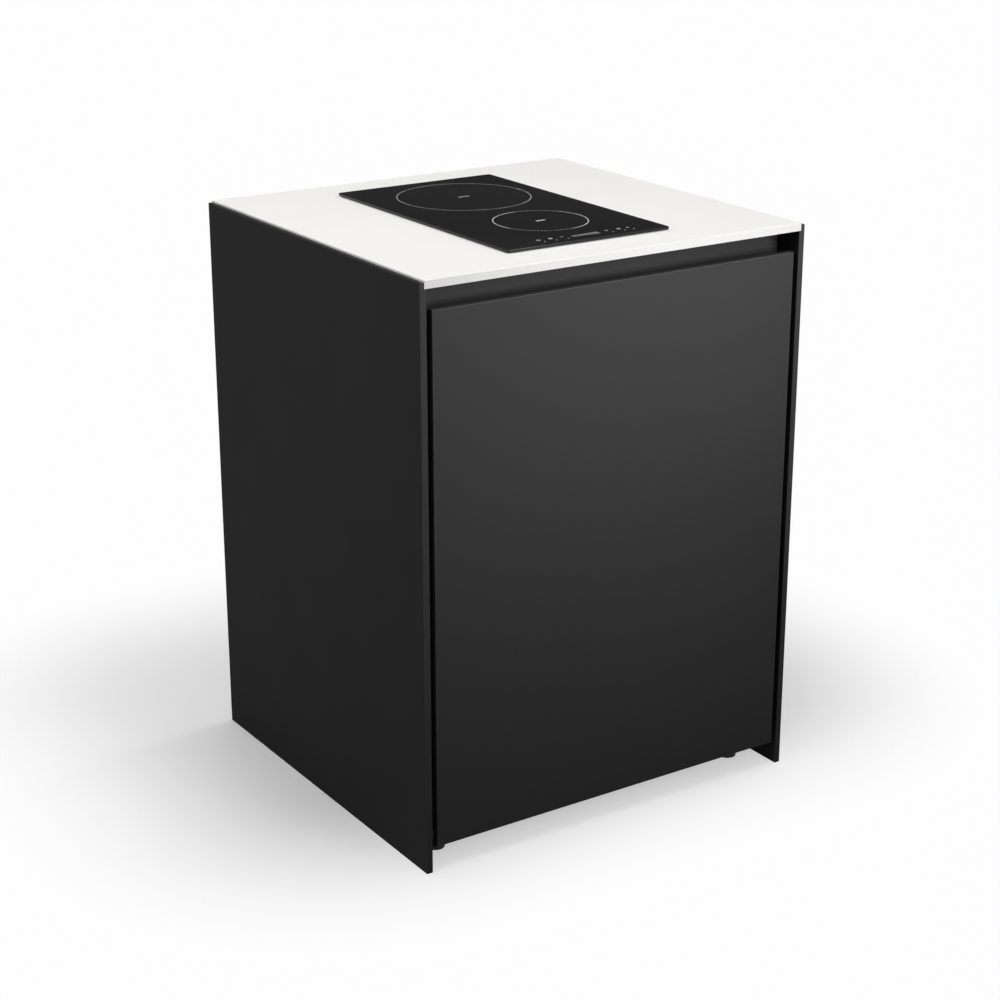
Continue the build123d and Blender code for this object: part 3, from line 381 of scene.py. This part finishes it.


# Finishes, one for each slot of the record and one more for the grip rail

# the lighter edge colours below are partly worn edges and partly a painted edge highlight
finishes = {  # sizes are in metres, and only the bump's depth is in millimetres
    "panel_laminate": {
        "color": (0.0262, 0.0262, 0.0266), "shade": 0.05, "patch": 0.25,
        "rough": 0.64, "roughSpread": 0.04, "grain": 0.0007, "depth": 0.02,
        "specular": 0.05, "wearAndHighlight": {"color": (0.09, 0.09, 0.092), "width": 0.0016, "amount": 0.4},
        # painted light: the front and back faces are coloured lighter than the sides
        "paintedFaceLight": {"color": (0.062, 0.062, 0.0625), "depth": 0.0009},
    },
    "worktop_stone": {
        "color": (0.895, 0.887, 0.862), "shade": 0.01, "patch": 0.09,
        "rough": 0.5, "roughSpread": 0.05, "grain": 0.0012, "depth": 0.015, "specular": 0.3,
        "specks": {"color": (0.74, 0.73, 0.7), "size": 0.0022, "share": 0.16, "amount": 0.35},
        "wearAndHighlight": {"color": (0.9, 0.895, 0.885), "width": 0.0012, "amount": 0.5},
    },
    "hob_glass": {
        "color": (0.0095, 0.0095, 0.0105), "shade": 0.05, "patch": 0.06,
        "rough": 0.16, "roughSpread": 0.03, "grain": 0.004, "depth": 0.0008,
        "specular": 0.3,
    },
    "door_coating": {
        "color": (0.061, 0.061, 0.0615), "shade": 0.04, "patch": 0.3,
        "rough": 0.58, "roughSpread": 0.04, "grain": 0.0006, "depth": 0.025,
        "specular": 0.06, "wearAndHighlight": {"color": (0.13, 0.13, 0.133), "width": 0.0018, "amount": 0.8},
    },
    "rail_coating": {
        "color": (0.042, 0.042, 0.0425), "shade": 0.06, "patch": 0.2,
        "rough": 0.5, "roughSpread": 0.05, "grain": 0.0006, "depth": 0.02, "specular": 0.2,
        "lines": {"stretch": (0.04, 1, 1), "size": 0.0006, "amount": 0.08},
    },
    "carcass_coating": {
        "color": (0.03, 0.03, 0.033), "shade": 0.06, "patch": 0.2,
        "rough": 0.45, "roughSpread": 0.05, "grain": 0.0008, "depth": 0.03, "specular": 0.22,
    },
    "door_foam": {
        "color": (0.5, 0.48, 0.4), "shade": 0.08, "patch": 0.02,
        "rough": 0.85, "roughSpread": 0.05, "grain": 0.0012, "depth": 0.2, "specular": 0.2,
    },
    "stainless_steel": {
        "color": (0.55, 0.55, 0.56), "shade": 0.05, "patch": 0.03, "metal": 1.0,
        "rough": 0.32, "roughSpread": 0.06, "grain": 0.0008, "depth": 0.01, "specular": 0.5,
        "lines": {"stretch": (1, 1, 0.06), "size": 0.0005, "amount": 0.12},
    },
    "zinc_steel": {
        "color": (0.5, 0.5, 0.48), "shade": 0.12, "patch": 0.012, "metal": 1.0,
        "rough": 0.42, "roughSpread": 0.1, "grain": 0.0012, "depth": 0.015, "specular": 0.5,
    },
    "black_zinc": {
        "color": (0.06, 0.06, 0.062), "shade": 0.15, "patch": 0.01, "metal": 1.0,
        "rough": 0.45, "roughSpread": 0.1, "grain": 0.001, "depth": 0.02, "specular": 0.5,
    },
    "black_plastic": {
        "color": (0.02, 0.02, 0.02), "shade": 0.06, "patch": 0.03,
        "rough": 0.55, "roughSpread": 0.06, "grain": 0.0005, "depth": 0.04, "specular": 0.4,
    },
    "black_rubber": {
        "color": (0.015, 0.015, 0.015), "shade": 0.1, "patch": 0.015,
        "rough": 0.75, "roughSpread": 0.08, "grain": 0.0006, "depth": 0.04, "specular": 0.3,
    },
    "magnet_ferrite": {
        "color": (0.06, 0.06, 0.065), "shade": 0.1, "patch": 0.01,
        "rough": 0.5, "roughSpread": 0.06, "grain": 0.0006, "depth": 0.05, "specular": 0.4,
        "specks": {"color": (0.12, 0.12, 0.125), "size": 0.0008, "share": 0.25, "amount": 0.6},
    },
    "coil_copper": {
        "color": (0.55, 0.24, 0.1), "shade": 0.12, "patch": 0.01, "metal": 1.0,
        "rough": 0.35, "roughSpread": 0.08, "grain": 0.0005, "depth": 0.03, "specular": 0.5,
    },
    "bare_aluminium": {
        "color": (0.6, 0.6, 0.61), "shade": 0.05, "patch": 0.04, "metal": 1.0,
        "rough": 0.38, "roughSpread": 0.06, "grain": 0.0008, "depth": 0.01, "specular": 0.5,
        "lines": {"stretch": (1, 0.05, 1), "size": 0.0006, "amount": 0.12},
    },
    "circuit_board": {
        "color": (0.02, 0.13, 0.05), "shade": 0.12, "patch": 0.008,
        "rough": 0.4, "roughSpread": 0.06, "grain": 0.0006, "depth": 0.02, "specular": 0.5,
        "specks": {"color": (0.55, 0.5, 0.35), "size": 0.0035, "share": 0.2, "amount": 0.7},
    },
    "touch_foam": {
        "color": (0.12, 0.12, 0.12), "shade": 0.12, "patch": 0.004,
        "rough": 0.85, "roughSpread": 0.05, "grain": 0.0005, "depth": 0.1, "specular": 0.2,
    },
    "sintered_bronze": {
        "color": (0.45, 0.3, 0.12), "shade": 0.1, "patch": 0.004, "metal": 1.0,
        "rough": 0.45, "roughSpread": 0.06, "grain": 0.0004, "depth": 0.03, "specular": 0.5,
        "specks": {"color": (0.25, 0.16, 0.07), "size": 0.0005, "share": 0.3, "amount": 0.6},
    },
}


def solid(color):
    return (*color, 1.0)


def makeFinish(name, finish, box=None):  # the box, two corners, places the worn edges with their painted highlight and the painted light on the front and back faces
    material = bpy.data.materials.new(name)
    tree = emptyTree(material)
    place = addNode(tree, "TexCoord").outputs["Object"]
    grain = useEffect(tree, "grain", {
        "Place": place,
        "Color": solid(finish["color"]),
        "Shade Spread": finish["shade"],
        "Patch Size": finish["patch"],
        "Roughness": finish["rough"],
        "Roughness Spread": finish["roughSpread"],
        "Grain Size": finish["grain"],
    })
    color, roughness, height = grain["Color"], grain["Roughness"], grain["Height"]
    if "lines" in finish:
        lines = finish["lines"]
        value = useEffect(tree, "lines", {
            "Place": place, "Stretch": lines["stretch"], "Line Size": lines["size"],
        })["Value"]
        roughness = calc(tree, "ADD", roughness, centred(tree, value, lines["amount"]), clamp=True)
        height = calc(tree, "ADD", height, value)
    if "specks" in finish:
        specks = finish["specks"]
        mask = useEffect(tree, "specks", {
            "Place": place, "Speck Size": specks["size"], "Share": specks["share"],
        })["Mask"]
        share = calc(tree, "MULTIPLY", mask, specks["amount"])
        color = mixColor(tree, share, color, solid(specks["color"]))
    if "paintedFaceLight" in finish and box:  # painted light: a plate's front and back faces are coloured lighter than its sides, as if lit more
        depthwise = addNode(tree, "SeparateXYZ", {0: place}).outputs[1]
        front, back = box[0][1], box[1][1]
        deep = finish["paintedFaceLight"]["depth"]
        nearFront = calc(tree, "LESS_THAN", depthwise, front + deep)
        nearBack = calc(tree, "GREATER_THAN", depthwise, back - deep)
        paintedLightBand = calc(tree, "MAXIMUM", nearFront, nearBack)
        color = mixColor(tree, paintedLightBand, color, solid(finish["paintedFaceLight"]["color"]))
    # lighter edges along the box: partly worn edges, partly a painted highlight
    if "wearAndHighlight" in finish and box:
        wearAndHighlight = finish["wearAndHighlight"]
        mask = useEffect(tree, "wearAndHighlight", {
            "Place": place,
            "Low": box[0],
            "High": box[1],
            "Width": wearAndHighlight["width"],
            "Breakup Size": effectSettings["wearAndHighlightPatch"],
        })["Mask"]
        share = calc(tree, "MULTIPLY", mask, wearAndHighlight["amount"])
        color = mixColor(tree, share, color, solid(wearAndHighlight["color"]))
    bump = addNode(tree, "Bump", {"Height": height, "Distance": finish["depth"] * mm, "Strength": 1.0})
    shader = addNode(tree, "BsdfPrincipled", {
        "Base Color": color,
        "Roughness": roughness,
        "Normal": bump.outputs["Normal"],
        "Metallic": finish.get("metal", 0.0),
        "Specular IOR Level": finish["specular"],
    })
    addNode(tree, "OutputMaterial", {"Surface": shader.outputs[0]})
    return material


finishOf = {name: makeFinish(name, finish) for name, finish in finishes.items()}
boxedNodes = ["left_side_panel", "right_side_panel", "worktop", "door_skin"]  # plates with worn edges and painted edge highlights
ownFinish = {"grip_rail": "rail_coating"}  # darker than the door, whose slot it shares
for name, piece in nodes.items():
    slot = ownFinish.get(name, slotOf[name])
    if name in boxedNodes:
        low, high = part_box(name)
        material = makeFinish(name + "_finish", finishes[slot], (tuple(low), tuple(high)))
    else:
        material = finishOf[slot]
    piece.data.materials.clear()
    piece.data.materials.append(material)
print("finishes made:", len(finishOf) + len(boxedNodes))


# Mesh helpers

mitreLimit = 0.35  # least cosine of half a bend, so that a sharp corner doesn't run far out


def newPiece(name, mesh, material, body):
    mesh.name = name
    mesh.materials.clear()
    mesh.materials.append(material)
    piece = bpy.data.objects.new(name, mesh)
    bpy.context.scene.collection.objects.link(piece)
    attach(piece, body)
    return piece


def meshFrom(shape):
    mesh = bpy.data.meshes.new("made")
    bmesh.ops.recalc_face_normals(shape, faces=shape.faces)
    shape.to_mesh(mesh)
    shape.free()
    return mesh


def arcPoints(centre, radius, first, last, steps):
    return [
        (centre[0] + radius * math.cos(a), centre[1] + radius * math.sin(a))
        for a in (math.radians(first + (last - first) * i / steps) for i in range(steps + 1))
    ]


def circlePoints(centre, radius, sides):  # a closed outline, so the first point isn't repeated
    return arcPoints(centre, radius, 0, 360 - 360 / sides, sides - 1)


def addPrism(shape, outline, low, high):  # a flat closed prism over a convex outline
    bottom = [shape.verts.new((x, y, low)) for x, y in outline]
    top = [shape.verts.new((x, y, high)) for x, y in outline]
    count = len(outline)
    for i in range(count):
        j = (i + 1) % count
        shape.faces.new((bottom[i], bottom[j], top[j], top[i]))
    shape.faces.new(top)
    shape.faces.new(bottom[::-1])


def addStroke(shape, points, width, low, high, closed=False):  # a mitred line of even width
    count = len(points)
    sides = []
    for i, (x, y) in enumerate(points):
        before = points[i - 1] if i or closed else points[i]
        after = points[(i + 1) % count] if i < count - 1 or closed else points[i]
        first = Vector((x - before[0], y - before[1]))
        second = Vector((after[0] - x, after[1] - y))
        first = first.normalized() if first.length > 0 else second.normalized()
        second = second.normalized() if second.length > 0 else first
        along = (first + second).normalized()
        across = Vector((-along.y, along.x))
        reach = width / 2 / max(mitreLimit, across.dot(Vector((-first.y, first.x))))
        sides.append((Vector((x, y)) + across * reach, Vector((x, y)) - across * reach))
    rings = []
    for left, right in sides:
        rings.append([
            shape.verts.new((left.x, left.y, low)), shape.verts.new((right.x, right.y, low)),
            shape.verts.new((right.x, right.y, high)), shape.verts.new((left.x, left.y, high)),
        ])
    for i in range(count if closed else count - 1):
        a, b = rings[i], rings[(i + 1) % count]
        for k in range(4):
            shape.faces.new((a[k], a[(k + 1) % 4], b[(k + 1) % 4], b[k]))
    if not closed:
        shape.faces.new(rings[0][::-1])
        shape.faces.new(rings[-1])


# Hob glass: a plate with polished edges that stands for the CAD plate

glassSettings = {
    "printThickness": 0.03 * mm,
    "cornerRadius": 4 * mm,
    "leastRadius": 0.2 * mm,
    "cornerSteps": 10,
    "smoothAngle": 35,
    # how far each ring of the edge is set in, and its drop, which is scaled to the plate's thickness
    "edge": [
        (0.4, 4.0), (0.1, 3.9), (0.0, 3.6), (0.0, 0.42),
        (0.04, 0.26), (0.13, 0.11), (0.26, 0.03), (0.4, 0.0),
    ],
}


def roundedOutline(low, high, inset, settings):
    left, right = low.x + inset, high.x - inset
    front, back = low.y + inset, high.y - inset
    radius = max(settings["cornerRadius"] - inset, settings["leastRadius"])
    points = []
    for x, y, start in (
        (right - radius, back - radius, 0), (left + radius, back - radius, 90),
        (left + radius, front + radius, 180), (right - radius, front + radius, 270),
    ):
        points += arcPoints((x, y), radius, start, start + 90, settings["cornerSteps"])
    return points


def makeGlass(settings):
    low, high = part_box("hob_glass")
    top = high.z - settings["printThickness"]
    thickness = top - low.z
    shape = bmesh.new()
    rings = []
    deepest = settings["edge"][0][1]
    for inset, drop in settings["edge"]:
        outline = roundedOutline(low, high, inset * mm, settings)
        z = top - drop / deepest * thickness
        rings.append([shape.verts.new((x, y, z)) for x, y in outline])
    count = len(rings[0])
    for lower, upper in zip(rings, rings[1:]):
        for i in range(count):
            j = (i + 1) % count
            shape.faces.new((lower[i], lower[j], upper[j], upper[i]))
    shape.faces.new(rings[-1])
    shape.faces.new(rings[0][::-1])
    mesh = meshFrom(shape)
    piece = newPiece("hobGlassPlate", mesh, finishOf["hob_glass"], "carcass")
    mesh.shade_smooth()
    mesh.set_sharp_from_angle(angle=math.radians(settings["smoothAngle"]))
    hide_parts("hob_glass")
    return top, high.z


printLow, printHigh = makeGlass(glassSettings)
print("hob glass made")


# Printed rings, bars and touch symbols on the glass

inkSettings = {
    "color": (0.66, 0.66, 0.65), "shade": 0.06, "patch": 0.01,
    "rough": 0.45, "roughSpread": 0.05, "grain": 0.0004, "depth": 0.004, "specular": 0.4,
}
sliderInkSettings = {**inkSettings, "color": (0.22, 0.22, 0.22)}
dotInkSettings = {**inkSettings, "color": (0.88, 0.88, 0.87)}
zoneSettings = {  # an arc is its first and last angle in degrees, and its number of dots or steps
    "rear": {
        "centre": (2, 106), "radius": 106, "bar": (20, 2.2),
        "dottedArcs": [(0, 360, 140)],
        "dot": {"across": 1.9, "along": 1.75, "sides": 12},
        "solidArcs": [],
    },
    "front": {
        "centre": (2, -108), "radius": 72, "bar": (16, 3.4),
        "dottedArcs": [(35, 89, 15), (196, 278, 23)],
        "dot": {"across": 1.6, "along": 1.7, "sides": 12},
        "solidArcs": [(89, 196, 96), (-82, 35, 96)], "lineWidth": 1.3,
    },
}
touchSettings = {
    "line": 1.15,  # stroke width of a symbol
    "symbolRadius": 2.6,
    "circleSides": 24,
    "row": -223.3,
    "symbolBack": 4.5,  # a symbol stands near its touch spring, and its dot in front
    "dotFront": 8.0,
    "aside": 1.4,
    "dotRadius": 1.1,
    "keys": {"power": -76.5, "lock": -55.5, "minus": -35, "plus": 45, "clock": 67, "pause": 83.5},
    "slider": {"from": -20, "to": 24.5, "bars": 12, "depth": (7, 12), "barWidth": 2.7},
}


def printStroke(shape, points, width, closed=False):  # in millimetres, as the settings above
    placed = [(x * mm, y * mm) for x, y in points]
    addStroke(shape, placed, width * mm, printLow, printHigh, closed)


def printPatch(shape, outline):
    addPrism(shape, [(x * mm, y * mm) for x, y in outline], printLow, printHigh)


def symbolStrokes(kind, settings):  # each stroke is its points and whether it is closed
    radius = settings["symbolRadius"]
    if kind == "power":
        return [(arcPoints((0, 0), radius, 125, 415, 20), False), ([(0, 0.6), (0, 3.6)], False)]
    if kind == "lock":
        return [
            ([(-2.3, -2.6), (2.3, -2.6), (2.3, 0.6), (-2.3, 0.6)], True),
            ([(-1.5, 1.2)] + arcPoints((0, 2.0), 1.5, 180, 0, 10) + [(1.5, 1.2)], False),
        ]
    if kind == "minus":
        return [([(-3, 0), (3, 0)], False)]
    if kind == "plus":
        return [([(-3, 0), (3, 0)], False), ([(0, 0.6), (0, 3)], False), ([(0, -3), (0, -0.6)], False)]
    if kind == "clock":
        face = circlePoints((0, 0), radius, settings["circleSides"])
        return [(face, True), ([(0, 1.7), (0, 0), (1.3, 0)], False)]
    return [([(x, -2.6), (x, 2.6)], False) for x in (-1.3, 1.3)]  # pause


def makeTouchSymbols(settings, ink):
    shape = bmesh.new()
    for kind, x in settings["keys"].items():
        cx, cy = x - settings["aside"], settings["row"] + settings["symbolBack"]
        for points, closed in symbolStrokes(kind, settings):
            printStroke(shape, [(cx + px, cy + py) for px, py in points], settings["line"], closed)
        spot = (x + settings["aside"], settings["row"] - settings["dotFront"])
        printPatch(shape, circlePoints(spot, settings["dotRadius"], settings["circleSides"]))
    newPiece("touchSymbols", meshFrom(shape), ink, "carcass")


def makeTouchSlider(settings, ink):  # a row of bars that grow deeper to the right
    shape = bmesh.new()
    slider, row = settings["slider"], settings["row"]
    last = slider["bars"] - 1
    step = (slider["to"] - slider["from"]) / last
    shallow, deep = slider["depth"]
    half = slider["barWidth"] / 2
    for i in range(slider["bars"]):
        x = slider["from"] + i * step
        reach = (shallow + (deep - shallow) * i / last) / 2
        left, right, front, back = x - half, x + half, row - reach, row + reach
        printPatch(shape, [(left, front), (right, front), (right, back), (left, back)])
    newPiece("touchSlider", meshFrom(shape), ink, "carcass")


def makeZoneLines(settings, ink):
    shape = bmesh.new()
    for zone in settings.values():
        x, y = zone["centre"]
        for first, last, steps in zone["solidArcs"]:
            printStroke(shape, arcPoints((x, y), zone["radius"], first, last, steps), zone["lineWidth"])
        length, width = zone["bar"]
        printStroke(shape, [(x + side * length / 2, y) for side in (-1, 1)], width)
    newPiece("zoneLines", meshFrom(shape), ink, "carcass")


ink = makeFinish("printInk", inkSettings)
makeZoneLines(zoneSettings, ink)
makeTouchSymbols(touchSettings, ink)
makeTouchSlider(touchSettings, makeFinish("sliderInk", sliderInkSettings))
print("glass printed")


# Dots of the zone rings, made with Geometry Nodes

def ringDotsTree():
    tree = bpy.data.node_groups.new("ringDots", "GeometryNodeTree")
    for label, kind, value in (
        ("Centre", "Vector", (0, 0, 0)), ("Radius", "Float", 0.1), ("Count", "Int", 10),
        ("First Angle", "Float", 0.0), ("Sweep", "Float", math.tau),
        ("Dot Size", "Vector", (mm, mm, mm)), ("Dot Sides", "Int", 12),
        ("Ink", "Material", None),
    ):
        socket = tree.interface.new_socket(label, in_out="INPUT", socket_type="NodeSocket" + kind)
        if value is not None:
            socket.default_value = value
    tree.interface.new_socket("Geometry", in_out="OUTPUT", socket_type="NodeSocketGeometry")
    given = tree.nodes.new("NodeGroupInput").outputs

    def add(kind, sockets, **values):
        return newNode(tree, kind, sockets, values).outputs

    def work(operation, first, second=0.0):
        return add("ShaderNodeMath", {0: first, 1: second}, operation=operation)[0]

    index = add("GeometryNodeInputIndex", {})[0]
    share = work("DIVIDE", work("ADD", index, 0.5), given["Count"])
    angle = work("ADD", given["First Angle"], work("MULTIPLY", share, given["Sweep"]))
    around = add("ShaderNodeCombineXYZ", {0: work("COSINE", angle), 1: work("SINE", angle)})[0]
    offset = add("ShaderNodeVectorMath", {0: around, "Scale": given["Radius"]}, operation="SCALE")[0]
    place = add("ShaderNodeVectorMath", {0: given["Centre"], 1: offset}, operation="ADD")[0]
    points = add("GeometryNodePoints", {"Count": given["Count"], "Position": place})[0]
    # one dot is 1 m across and 1 m high until Dot Size scales it
    dot = add("GeometryNodeMeshCylinder", {
        "Vertices": given["Dot Sides"], "Radius": 0.5, "Depth": 1.0,
    })["Mesh"]
    turn = add("ShaderNodeCombineXYZ", {2: angle})[0]
    dots = add("GeometryNodeInstanceOnPoints", {
        "Points": points, "Instance": dot, "Rotation": turn, "Scale": given["Dot Size"],
    })[0]
    real = add("GeometryNodeRealizeInstances", {"Geometry": dots})[0]
    inked = add("GeometryNodeSetMaterial", {"Geometry": real, "Material": given["Ink"]})[0]
    add("NodeGroupOutput", {0: inked})
    return tree


def plainMesh(tree, values, name):  # runs a geometry tree once and keeps its mesh
    holder = bpy.data.objects.new(name, bpy.data.meshes.new(name))
    bpy.context.scene.collection.objects.link(holder)
    modifier = holder.modifiers.new(name, "NODES")
    modifier.node_group = tree
    for item in tree.interface.items_tree:
        if item.in_out == "INPUT" and item.name in values:
            modifier[item.identifier] = values[item.name]
    evaluated = holder.evaluated_get(bpy.context.evaluated_depsgraph_get())
    mesh = bpy.data.meshes.new_from_object(evaluated)
    holder.modifiers.remove(modifier)
    bpy.data.objects.remove(holder)
    return mesh


def makeZoneDots(settings, ink):
    tree = ringDotsTree()
    height = printHigh - printLow
    for label, zone in settings.items():
        x, y = zone["centre"]
        dot = zone["dot"]
        for number, (first, last, count) in enumerate(zone["dottedArcs"]):
            mesh = plainMesh(tree, {
                "Centre": (x * mm, y * mm, (printLow + printHigh) / 2),
                "Radius": zone["radius"] * mm,
                "Count": count,
                "First Angle": math.radians(first),
                "Sweep": math.radians(last - first),
                "Dot Size": (dot["across"] * mm, dot["along"] * mm, height),
                "Dot Sides": dot["sides"],
                "Ink": ink,
            }, "dots")
            newPiece(f"{label}ZoneDots{number}", mesh, ink, "carcass")


makeZoneDots(zoneSettings, makeFinish("dotInk", dotInkSettings))
print("zone dots made")


print("scene built")
